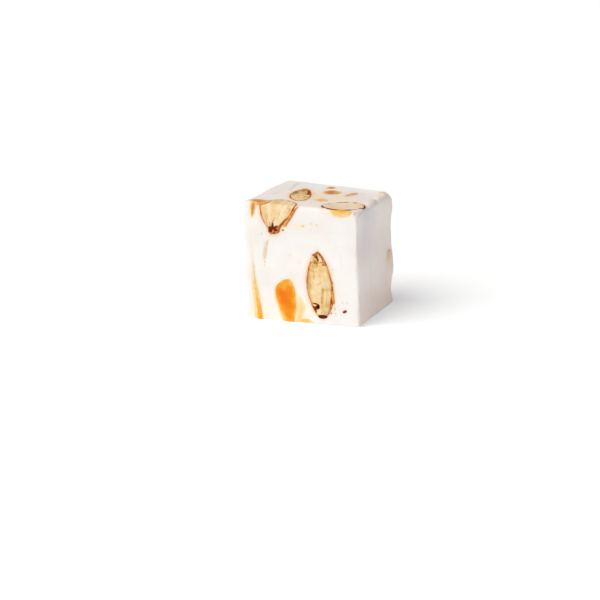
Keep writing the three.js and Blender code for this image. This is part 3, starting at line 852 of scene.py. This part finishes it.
almond("almond_top_shard", [
    dict(foot=(8.5, 2.2, TOP - 0.3), tip=(9.9, 8.2, TOP - 0.2), facing=UPWARD,
         width=1.7, depth=4, foot_power=1.0, tip_power=0.4),
], shard_marks, cell=SHAVING_CELL, face=(0, 1))
almond("almond_top_corner", [
    dict(foot=(17.4, 9.6, TOP - 0.7), tip=(16.7, 12.3, TOP - 0.6), facing=UPWARD, width=1.8, depth=3),
], shaving_marks, cell=SHAVING_CELL, face=(0, 1))

# ---- The right face -------------------------------------------------------------------------
# One bare bit of kernel near the back edge. The knife pushed it out, so it stands proud.

def pushed_marks(points, flat, depth):
    """Bare kernel with a bumpy break and a little nougat on it. It is painted pale peach, partly its own
    colour and partly painted light for the light it catches where it stands proud.
    """
    return {"relief": 0.05 * noise(points, 1.0, 46), "tone": 0.42, "stain": 0.12, "wider": -1, "veil": 0.15}


almond("almond_right_edge", [
    dict(foot=(RIGHT - 1.35, 9.5, 12.7), tip=(RIGHT - 1.35, 12.9, 18.4), facing=(1, 0, 0),
         width=4.8, depth=3.9),
], pushed_marks, proud=True, face=(1, 2))

# ---- The left face, the back and the underside ----------------------------------------------
# Kernels and caramels of the same sizes as on the front, about as many to a face. The knife went
# clean through the kernels, so their two halves show with a seam between them.

def plain_marks(points, flat, depth):
    """A kernel cut clean through: a dark seam where its halves meet, and skin of an uneven width."""
    patches = noise(points, 2.2, 47)
    seam = smooth(noise(points, (2.5, 2.5, 5.0), 50), 0.42, 0.5) * smooth(depth, 0.8, 1.6)
    return {"relief": -0.12 * seam, "tone": 0.04 + 0.1 * patches - 0.22 * seam, "wider": 0.06 * patches}


almond("almond_left", [
    dict(foot=(LEFT, 8.5, 8.5), tip=(LEFT + 0.3, -1.5, 26.5), facing=(-1, 0, 0),
         width=11.6, depth=9, tip_power=0.7),
], plain_marks, face=(1, 2))
almond("almond_left_top", [
    dict(foot=(LEFT, -1.5, 31.2), tip=(LEFT, -10, 32.6), facing=(-1, 0, 0),
         width=4.6, depth=6, tip_power=0.7),
], plain_marks, face=(1, 2))
caramel("caramel_left", "caramel", orange_caramel, [
    dict(foot=(LEFT, -4.6, 3.4), tip=(LEFT, -8.6, 13.4), facing=(-1, 0, 0),
         width=5, depth=8, foot_power=0.4, tip_power=0.9, slant=0.3),
])
caramel("caramel_left_bead", "honey_caramel", honey_caramel, [
    dict(foot=(LEFT + 1.3, 8.8, 30.6), tip=(LEFT + 1.4, 12, 31.6), facing=(-1, 0, 0), width=2.6, depth=4),
])
almond("almond_back", [
    dict(foot=(-0.5, BACK, 14), tip=(-11.5, BACK - 0.2, 29.5), facing=(0, 1, 0),
         width=8.6, depth=12, foot_power=0.6, tip_power=0.75),
], plain_marks)
almond("almond_back_cross", [
    dict(foot=(6.5, 4.5, 9.5), tip=(7.5, 27, 8.5), facing=(0.2, 0, 1),
         width=12.4, depth=8.2, tip_power=0.7),
], plain_marks)
caramel("caramel_back", "caramel", orange_caramel, [
    dict(foot=(8, BACK, 21.5), tip=(11.5, BACK, 31), facing=(0, 1, 0),
         width=4.8, depth=7, foot_power=0.5, tip_power=0.9, slant=-0.35),
])
caramel("caramel_back_base", "caramel", orange_caramel, [
    dict(foot=(-5.4, BACK, 0.6), tip=(-12.6, BACK, 0.2), facing=(0, 1, 0), width=7.4, depth=6),
])
almond("almond_base", [
    dict(foot=(9.5, -1, 0), tip=(-8, -4.6, 0), facing=(0, 0, -1), width=8.4, depth=8, tip_power=0.75),
], plain_marks, face=(0, 1))
caramel("caramel_base", "honey_caramel", honey_caramel, [
    dict(foot=(-10.8, 3.4, 0), tip=(-7.4, 6.6, 0), facing=(0, 0, -1), width=3, depth=4),
])

# ---- Crumbs ---------------------------------------------------------------------------------
# What the knife broke off and dragged along: papery flakes of brown almond skin, and crumbs of
# kernel. They are pressed into the soft faces and stand out of them by a few tenths of a millimetre.

def crumbs(name, slot, material, shapes):
    """Small lumps in one piece, each laid on the block: its ends are moved to the nearest places on it, and
    it faces outward there."""
    points, triangles, stains, count = [], [], [], 0
    for shape in shapes:
        laid = dict(shape)
        for end in ("foot", "tip"):
            _, laid[end], laid["facing"], _ = block.closest_point_on_mesh(Vector(shape[end]))
        own_points, own_triangles = lump_surface(laid, 12, 8)
        points.append(own_points)
        triangles.append(own_triangles + count)
        stains.append(np.full(len(own_points), shape.get("stain", 0)))
        count += len(own_points)
    piece = closed_mesh(name, np.concatenate(points), np.concatenate(triangles))
    places = points_of(piece)
    places[:, 2] = np.maximum(places[:, 2], 0)
    put_points(piece, places)
    paint(piece, "grain", places)
    paint(piece, "tone", 0.4 + 0.2 * noise(places, 1.0, 61))
    paint(piece, "stain", np.concatenate(stains))
    paint(piece, "skin", np.full(len(places), -1.0))
    finish_piece(piece, material, slot)


def front_crumb(x, z, length, width, lean=0.0, stain=0.0):
    """A crumb on the front face, round the place x, z. It leans by that many degrees from upright. stain is
    how scorched it is."""
    run = length / 2 * np.array([math.sin(math.radians(lean)), 0, math.cos(math.radians(lean))])
    spot = np.array([x, FRONT, z])
    return dict(foot=spot - run, tip=spot + run, width=width, depth=0.4, stain=stain)


def scattered(count, low, high, sizes, seed):
    """Crumbs strewn between two corners of a box, a few together, with lengths between the two sizes."""
    draw = np.random.default_rng(seed)
    made = []
    for _ in range(count):
        spot = draw.uniform(low, high)
        run = draw.normal(size=3)
        run *= draw.uniform(*sizes) / 2 / np.linalg.norm(run)
        made.append(dict(foot=spot - run, tip=spot + run, width=draw.uniform(0.25, 0.6), depth=0.3))
    return made


# Almond skin: a brown papery film, matt, orange where it is thin and red brown where it folds.
skin_material, tree, output = blank_material("papery almond skin")
where = node(tree, "TexCoord").outputs["Object"]
folds = speckle(tree, where, 1.3 * PER_MM, 3.0)
surface(tree, output, folds, 0.5, 0.0002, {
    "Base Color": ramp(tree, folds, [(0.38, "#f0a45c"), (0.54, "#dc8440"), (0.7, "#ac5a24")]),
    "Roughness": 0.6, "IOR": 1.46, "Specular IOR Level": 0.1,
    "Subsurface Weight": 0.15, "Subsurface Radius": (1.0, 0.45, 0.2), "Subsurface Scale": 0.0004})

# A strip of skin that came loose beside the corner kernel, in short overlapping lengths, and the places
# on the left, back and top faces over which crumbs are strewn.
STRIP = np.linspace((-4.6, FRONT, 29.8), (0.2, FRONT, 37.1), 9)
LEFT_FACE = (LEFT, -11, 3), (LEFT, 12, 33)
BACK_FACE = (-14, BACK, 3), (15, BACK, 33)
TOP_FACE = (-14, -11, TOP), (15, 11, TOP)

crumbs("skin_flakes", "almond_skin", skin_material, [
    dict(foot=low, tip=high, width=0.75, depth=0.5, foot_power=0.35, tip_power=0.35)
    for low, high in zip(STRIP, STRIP[2:])
] + [front_crumb(*sizes) for sizes in (
    (10.4, 13.0, 1.7, 0.6), (10.35, 9.7, 2.3, 0.8, 12), (10.55, 7.8, 2.5, 0.8, -6), (9.9, 6.1, 1.0, 0.4, 12),
    (-4.9, 30.6, 0.8, 0.4, 35))
] + scattered(9, *LEFT_FACE, (0.5, 1.4), 62) + scattered(9, *BACK_FACE, (0.5, 1.4), 63))

# The heel that closes the split kernel's foot, and the other scorched bits.
crumbs("scorched_heel", "almond_skin", kernel_material, [front_crumb(*sizes) for sizes in (
    (7.07, 2.5, 3.15, 1.4, 88, 0.88), (14.2, 4.55, 1.5, 0.9, 65, 0.62), (4.65, 21.7, 1.7, 0.7, 66, 0.42),
    (-5.2, 28.75, 0.8, 0.45, 75, 0.4), (-6.45, 29.1, 2.4, 0.5, 32, 0.42), (9.8, 3.7, 0.55, 0.35, 30, 0.4))])

crumbs("kernel_crumbs", "almond", kernel_material, [front_crumb(*sizes) for sizes in (
    (1.3, 30.5, 1.3, 0.6, 80), (4.1, 31.3, 0.6, 0.35, 60), (6.0, 31.1, 0.6, 0.35), (4.0, 29.3, 0.5, 0.3, 20),
    (-12.4, 27.25, 0.5, 0.4), (10.8, 17.4, 0.5, 0.3, 70), (13.4, 7.3, 0.5, 0.35), (15.0, 7.3, 0.5, 0.3, 50),
    (11.2, 3.65, 0.5, 0.35), (11.05, 5.2, 0.9, 0.3, 10), (3.95, 20.6, 1.9, 1.0, 18), (-11.75, 18.4, 0.5, 0.2),
    (-11.7, 17.3, 0.6, 0.22))
] + scattered(8, *LEFT_FACE, (0.4, 1.2), 66) + scattered(8, *BACK_FACE, (0.4, 1.2), 67)
       + scattered(4, *TOP_FACE, (0.4, 0.8), 68))

# ---- Nougat ---------------------------------------------------------------------------------
# The block again, now hollowed for every lump. Whipped sugar, honey and egg white: matt, almost
# white, and light passes a few millimetres into it. The caramels have bled into it, and the
# knife has drawn some of them out in thin yellow smears.

BLEED_REACH = 0.6         # mm that a caramel's colour has crept into the nougat
RUST_REACH = 0.5          # mm that the brown of an almond's skin has crept
SKINLESS = ("almond_sliver", "almond_right", "almond_top_corner")   # they show hardly any skin
# The chipped corner, which is greyed with painted shade.
CHIP = (18.1, -14.8, 35.4)            # the chipped corner, greyed
CHIP_SIZE = (1.2, 1.2, 0.9)


def crept(points):
    """How much colour each point has taken from the caramels and from the skins of the almonds beside it,
    which falls off as a bell and as an exponential. High up, the streak's edge is fainter. The skins' is
    patchy."""
    bleed = np.zeros(len(points))
    rust = np.zeros(len(points))
    patchy = 1 + 0.5 * noise(points, 2.0, 57)
    for whole, shapes in earlier:
        reach = np.abs(lump_place(shapes, points)[1])
        if "caramel" in whole.name:
            share = 0.55 - 0.35 * smooth(points[:, 2], 9, 18) * whole.name.startswith("caramel_streak")
            bleed = np.maximum(bleed, share * bell(reach / BLEED_REACH))
        else:
            skinned = 0.15 if whole.name.startswith(SKINLESS) else 0.85
            rust = np.maximum(rust, skinned * patchy * np.exp(-reach / RUST_REACH))
    return bleed, rust


def front_smears(points):
    """The caramel smeared over the front face: a banded smear right of the tall caramel, whose far side
    runs out, back and out again, a flat mound beside its foot, the end of the streak's trail, a pale drop,
    a band of fine lines and a glow right of the corner kernel, a haze by the split one, and syrup soaked
    into the foot."""
    flat = points[:, [0, 2]] + 0.16 * np.stack([noise(points, 1.2, 51), noise(points, 1.2, 52)], axis=1)
    far_side = np.interp(flat[:, 1], [0, 0.6, 1.4, 2.7, 3.9, 5.2, 6.5, 8.0, 10.6, 12],
                         [-0.5, -0.3, 0.15, 0.8, 1.15, 1.25, 0.95, 0.0, -1.4, -2.3]) - flat[:, 0]
    beside = smooth(flat[:, 0], -2.8, -1.8) * smooth(11.5 - flat[:, 1], 0, 5)
    smear = beside * ((0.42 - 0.1 * smooth(flat[:, 1], 4.5, 7)) * smooth(far_side, -0.65, 0.55)
                      + 0.2 * bell((far_side - 0.95) / 0.45) * smooth(7.5 - flat[:, 1], 0, 2)
                      + 0.28 * stroke(flat, (-1.9, 6.4), (-1.8, 3.4), 0.8)
                      - 0.2 * stroke(flat, (-1.6, 2.9), (-2.1, 0.8), 0.8))
    smear *= 1 + 0.2 * noise(points, (0.5, 3.0, 2.0), 58)
    mound = 1.75 * (1 - ((flat[:, 0] - 1.4) / 2.9) ** 2)
    puddle = 0.6 * smooth(mound - flat[:, 1], -0.1, 0.5) + 0.25 * stroke(flat, (0.0, 0.7), (1.9, 0.6), 0.9)
    fine_lines = 1 + 0.7 * noise(points, (4, 4, 0.4), 53)
    return np.maximum.reduce([
        smear, puddle,
        0.2 * stroke(flat, (-15.6, 16), (-16.2, 27), 0.7, 0.3),
        0.2 * blob(flat, (0.0, 18.85), (0.7, 0.7)),
        0.11 * stroke(flat, (-5.5, 29.8), (7.5, 31.0), 2.4, 1.2) * fine_lines,
        0.12 * stroke(flat, (-6.2, 29.2), (-1.2, 29.5), 0.3),
        0.5 * stroke(flat, (-5.8, 29.4), (-4.0, 31.4), 1.1),
        0.13 * blob(flat, (10.7, 5.0), (0.8, 1.8)),
        0.11 * smooth(-points[:, 0], 4, 14) * smooth(10 - points[:, 2], 0, 8),
        0.1 * blob(flat, (2.2, 4.0), (1.7, 3.6))])


nougat = block
nougat.name = "nougat_body"
for whole, _ in earlier:
    carve(nougat, whole, "DIFFERENCE")

# Where each tint lies. The front and top faces have marks of their own, and so has the torn ridge
# between the top and right faces. The dragged faces get painted shade in their grooves and a warm painted
# shade low down.
points = points_of(nougat)
front = smooth(-points[:, 1], 13.6, 14.8)
upper = smooth(points[:, 2], 34.3, 35.2)
ridge = smooth(points[:, 0], 16.2, 17.2) * smooth(points[:, 2], 33.4, 34.4)
drag = dragged(normals_of(nougat))
x, y, z = points.T
front_flat, top_flat, ridge_flat = points[:, [0, 2]], points[:, :2], points[:, 1:]
ragged_top = top_flat + 0.2 * np.stack([noise(points, 1.4, 54), noise(points, 1.4, 55)], axis=1)

bleed, rust = crept(points)
top_smear = 0.18 * blob(ragged_top, (4.0, 0.0), (9.0, 5.5)) * (1 + 0.4 * noise(points, 3.0, 59))
bleed = np.maximum.reduce([bleed, front * front_smears(points), upper * top_smear])
# Tan marks, partly painted shade: on the top, scratches and shallow dents whose tan is partly painted shade;
# on the front, a faint scratch and two specks; on the torn ridge, painted shade between its lumps; and
# painted shade over the chipped corner.
scratches_and_shade = upper * np.maximum.reduce([0.6 * stroke(ragged_top, (-11.6, 11.6), (-11.0, 4.0), 1.3, 0.6),
                                       0.6 * stroke(ragged_top, (-13.4, -3.5), (-12.2, -1.5), 0.7, 0.5),
                                       0.5 * stroke(ragged_top, (5.75, 1.9), (7.1, 2.8), 0.5),
                                       0.4 * blob(ragged_top, (12.0, 8.2), (0.9, 0.5))])
scratches_and_shade += front * np.maximum.reduce([0.3 * stroke(front_flat, (13.45, 22.8), (14.1, 17.6), 0.28, 0.2),
                                        0.35 * blob(front_flat, (-3.2, 21.1), (0.3, 0.4)),
                                        0.25 * blob(front_flat, (-0.8, 15.7), (0.3, 0.3))])
scratches_and_shade += ridge * np.maximum(0.45 * blob(ridge_flat, (0.8, 35.7), (2.2, 1.4)),
                                0.25 * blob(ridge_flat, (9.0, 35.2), (3.0, 1.2)))
chipped_corner = np.linalg.norm((points - CHIP) / CHIP_SIZE, axis=1)
scratches_and_shade += 0.7 * bell(chipped_corner)
# Painted shade: the grooves of the dragged faces darkened, and a warm painted shade that grows towards their
# base. The dragged faces also turn warmer towards the back, and the top a little warmer in its middle.
grooves = smooth(-0.6 * noise(points, (0.8, 0.8, 16.0), 5) - noise(points, (0.4, 0.4, 9.0), 6), 0.1, 0.9)
aged = drag * (0.36 * smooth(22 - z, 0, 22) + 0.22 * grooves + 0.12 * smooth(y, -8, 14))
aged += 0.3 * upper * blob(top_flat, (4.0, -1.0), (9.5, 6.0))
# Painted light: the back of the top face lit whiter, and painted highlights on two lumps of the torn ridge.
fair = np.maximum(upper * smooth(y, 6, 12) * smooth(x, -8, 0) * smooth(17 - x, 0, 2),
                  ridge * np.maximum(blob(ridge_flat, (-2.3, 35.3), (0.5, 1.1)),
                                     blob(ridge_flat, (4.2, 35.9), (0.5, 1.0))))
# Painted shade in cool grey: on the right face high up towards its front, low on the right of the front face,
# and along the front face's left edge.
dusk = (drag * (smooth(-y, -4, 8) - 0.6 * smooth(-y, 9, 14)) * smooth(z, 14, 30)
        + 0.5 * front * smooth(x, -2, 12) * smooth(12 - z, 0, 12)
        + 0.3 * front * smooth(-x, 15.5, 18))
tints = {"bleed": bleed, "rust": rust, "fair": fair, "scratched": scratches_and_shade, "aged": aged, "dusk": dusk}
for layer, share in tints.items():
    paint(nougat, layer, np.clip(share, 0, 1))

# The knife has left it matt, with pores under a millimetre apart and fine upright lines. Each tint is laid
# over the last: fresh white that is painted light, the tan of scratches and of painted shade, a warm tint and
# painted shade, a cool grey painted shade, caramel, and skin brown.
nougat_material, tree, output = blank_material("whipped nougat, knife-cut")
where = node(tree, "TexCoord").outputs["Object"]
mottle = speckle(tree, where, 0.16 * PER_MM, 5.0)
share_of = dict(zip(tints, painted(tree, *tints)))
bleed_share = node(tree, "MapRange", {"Value": share_of["bleed"], 2: 0.3}).outputs[0]
bleed_colour = ramp(tree, share_of["bleed"], [
    (0.0, "#fdf1e0"), (0.35, "#fee3b6"), (0.7, "#fccf85"), (1.0, "#f9b650")])
white = coated(tree, ramp(tree, mottle, [(0.3, "#f4f0ec"), (0.7, "#f8f6f3")]), [
    (share_of["fair"], linear("#ffffff")), (share_of["scratched"], linear("#ddcfbf")),
    (share_of["aged"], linear("#f8dac9")), (share_of["dusk"], linear("#e7e5e6")),
    (bleed_share, bleed_colour), (share_of["rust"], linear("#fcc186"))])
pores = speckle(tree, where, 2.2 * PER_MM, 4.0)
lines = node(tree, "Mapping", {"Vector": where, "Scale": (1.0, 1.0, 0.06)}).outputs["Vector"]
knife = speckle(tree, lines, 1.6 * PER_MM, 3.0)
surface(tree, output, multiply_add(tree, pores, 0.5, knife), 0.25, 0.00012, {
    "Base Color": white, "Roughness": 0.6, "IOR": 1.4,
    "Subsurface Weight": 0.5, "Subsurface Radius": (1.0, 0.8, 0.62), "Subsurface Scale": 0.0009})
finish_piece(nougat, nougat_material, "nougat", "nougat")
nougat.data.set_sharp_from_angle(angle=math.radians(50))
for whole, _ in earlier:
    bpy.data.objects.remove(whole)

# ---- Floor and light ------------------------------------------------------------------------
# A white tabletop and a soft bright studio: a large window of light from the front left. The tabletop
# gives off a little light of its own, so that it stays white.

FLOOR_REACH = 3000        # mm each way
FLOOR_GAP = 0.05          # mm, so that the floor and the underside don't share a plane
KEY_FROM = Vector((-0.35, -0.5, 0.85))
KEY_ANGLE = 50            # degrees: as wide as a window close by, for a soft shadow

floor_corners = np.array([[-1, -1, 0], [1, -1, 0], [1, 1, 0], [-1, 1, 0]]) * FLOOR_REACH
floor = closed_mesh("floor", floor_corners - [0, 0, FLOOR_GAP], np.array([[0, 1, 2, 3]]))
put_points(floor, points_of(floor) * 0.001)
floor_material, tree, output = blank_material("white laminate tabletop")
shader = node(tree, "BsdfPrincipled", {"Base Color": linear("#fbfbfb"), "Roughness": 0.7,
                                       "Emission Color": linear("#dcf3ff"), "Emission Strength": 0.25})
tree.links.new(shader.outputs["BSDF"], output.inputs["Surface"])
floor.data.materials.append(floor_material)

world = bpy.data.worlds.new("studio")
world.use_nodes = True
world.node_tree.nodes["Background"].inputs["Color"].default_value = (1.0, 0.87, 0.82, 1.0)
world.node_tree.nodes["Background"].inputs["Strength"].default_value = 0.365
bpy.context.scene.world = world

key = bpy.data.objects.new("key_light", bpy.data.lights.new("key_light", "SUN"))
key.data.energy = 2.2
key.data.color = (0.975, 0.97, 0.945)
key.data.angle = math.radians(KEY_ANGLE)
key.rotation_euler = KEY_FROM.to_track_quat("Z", "Y").to_euler()
bpy.context.scene.collection.objects.link(key)

bpy.context.scene.view_settings.view_transform = "Standard"
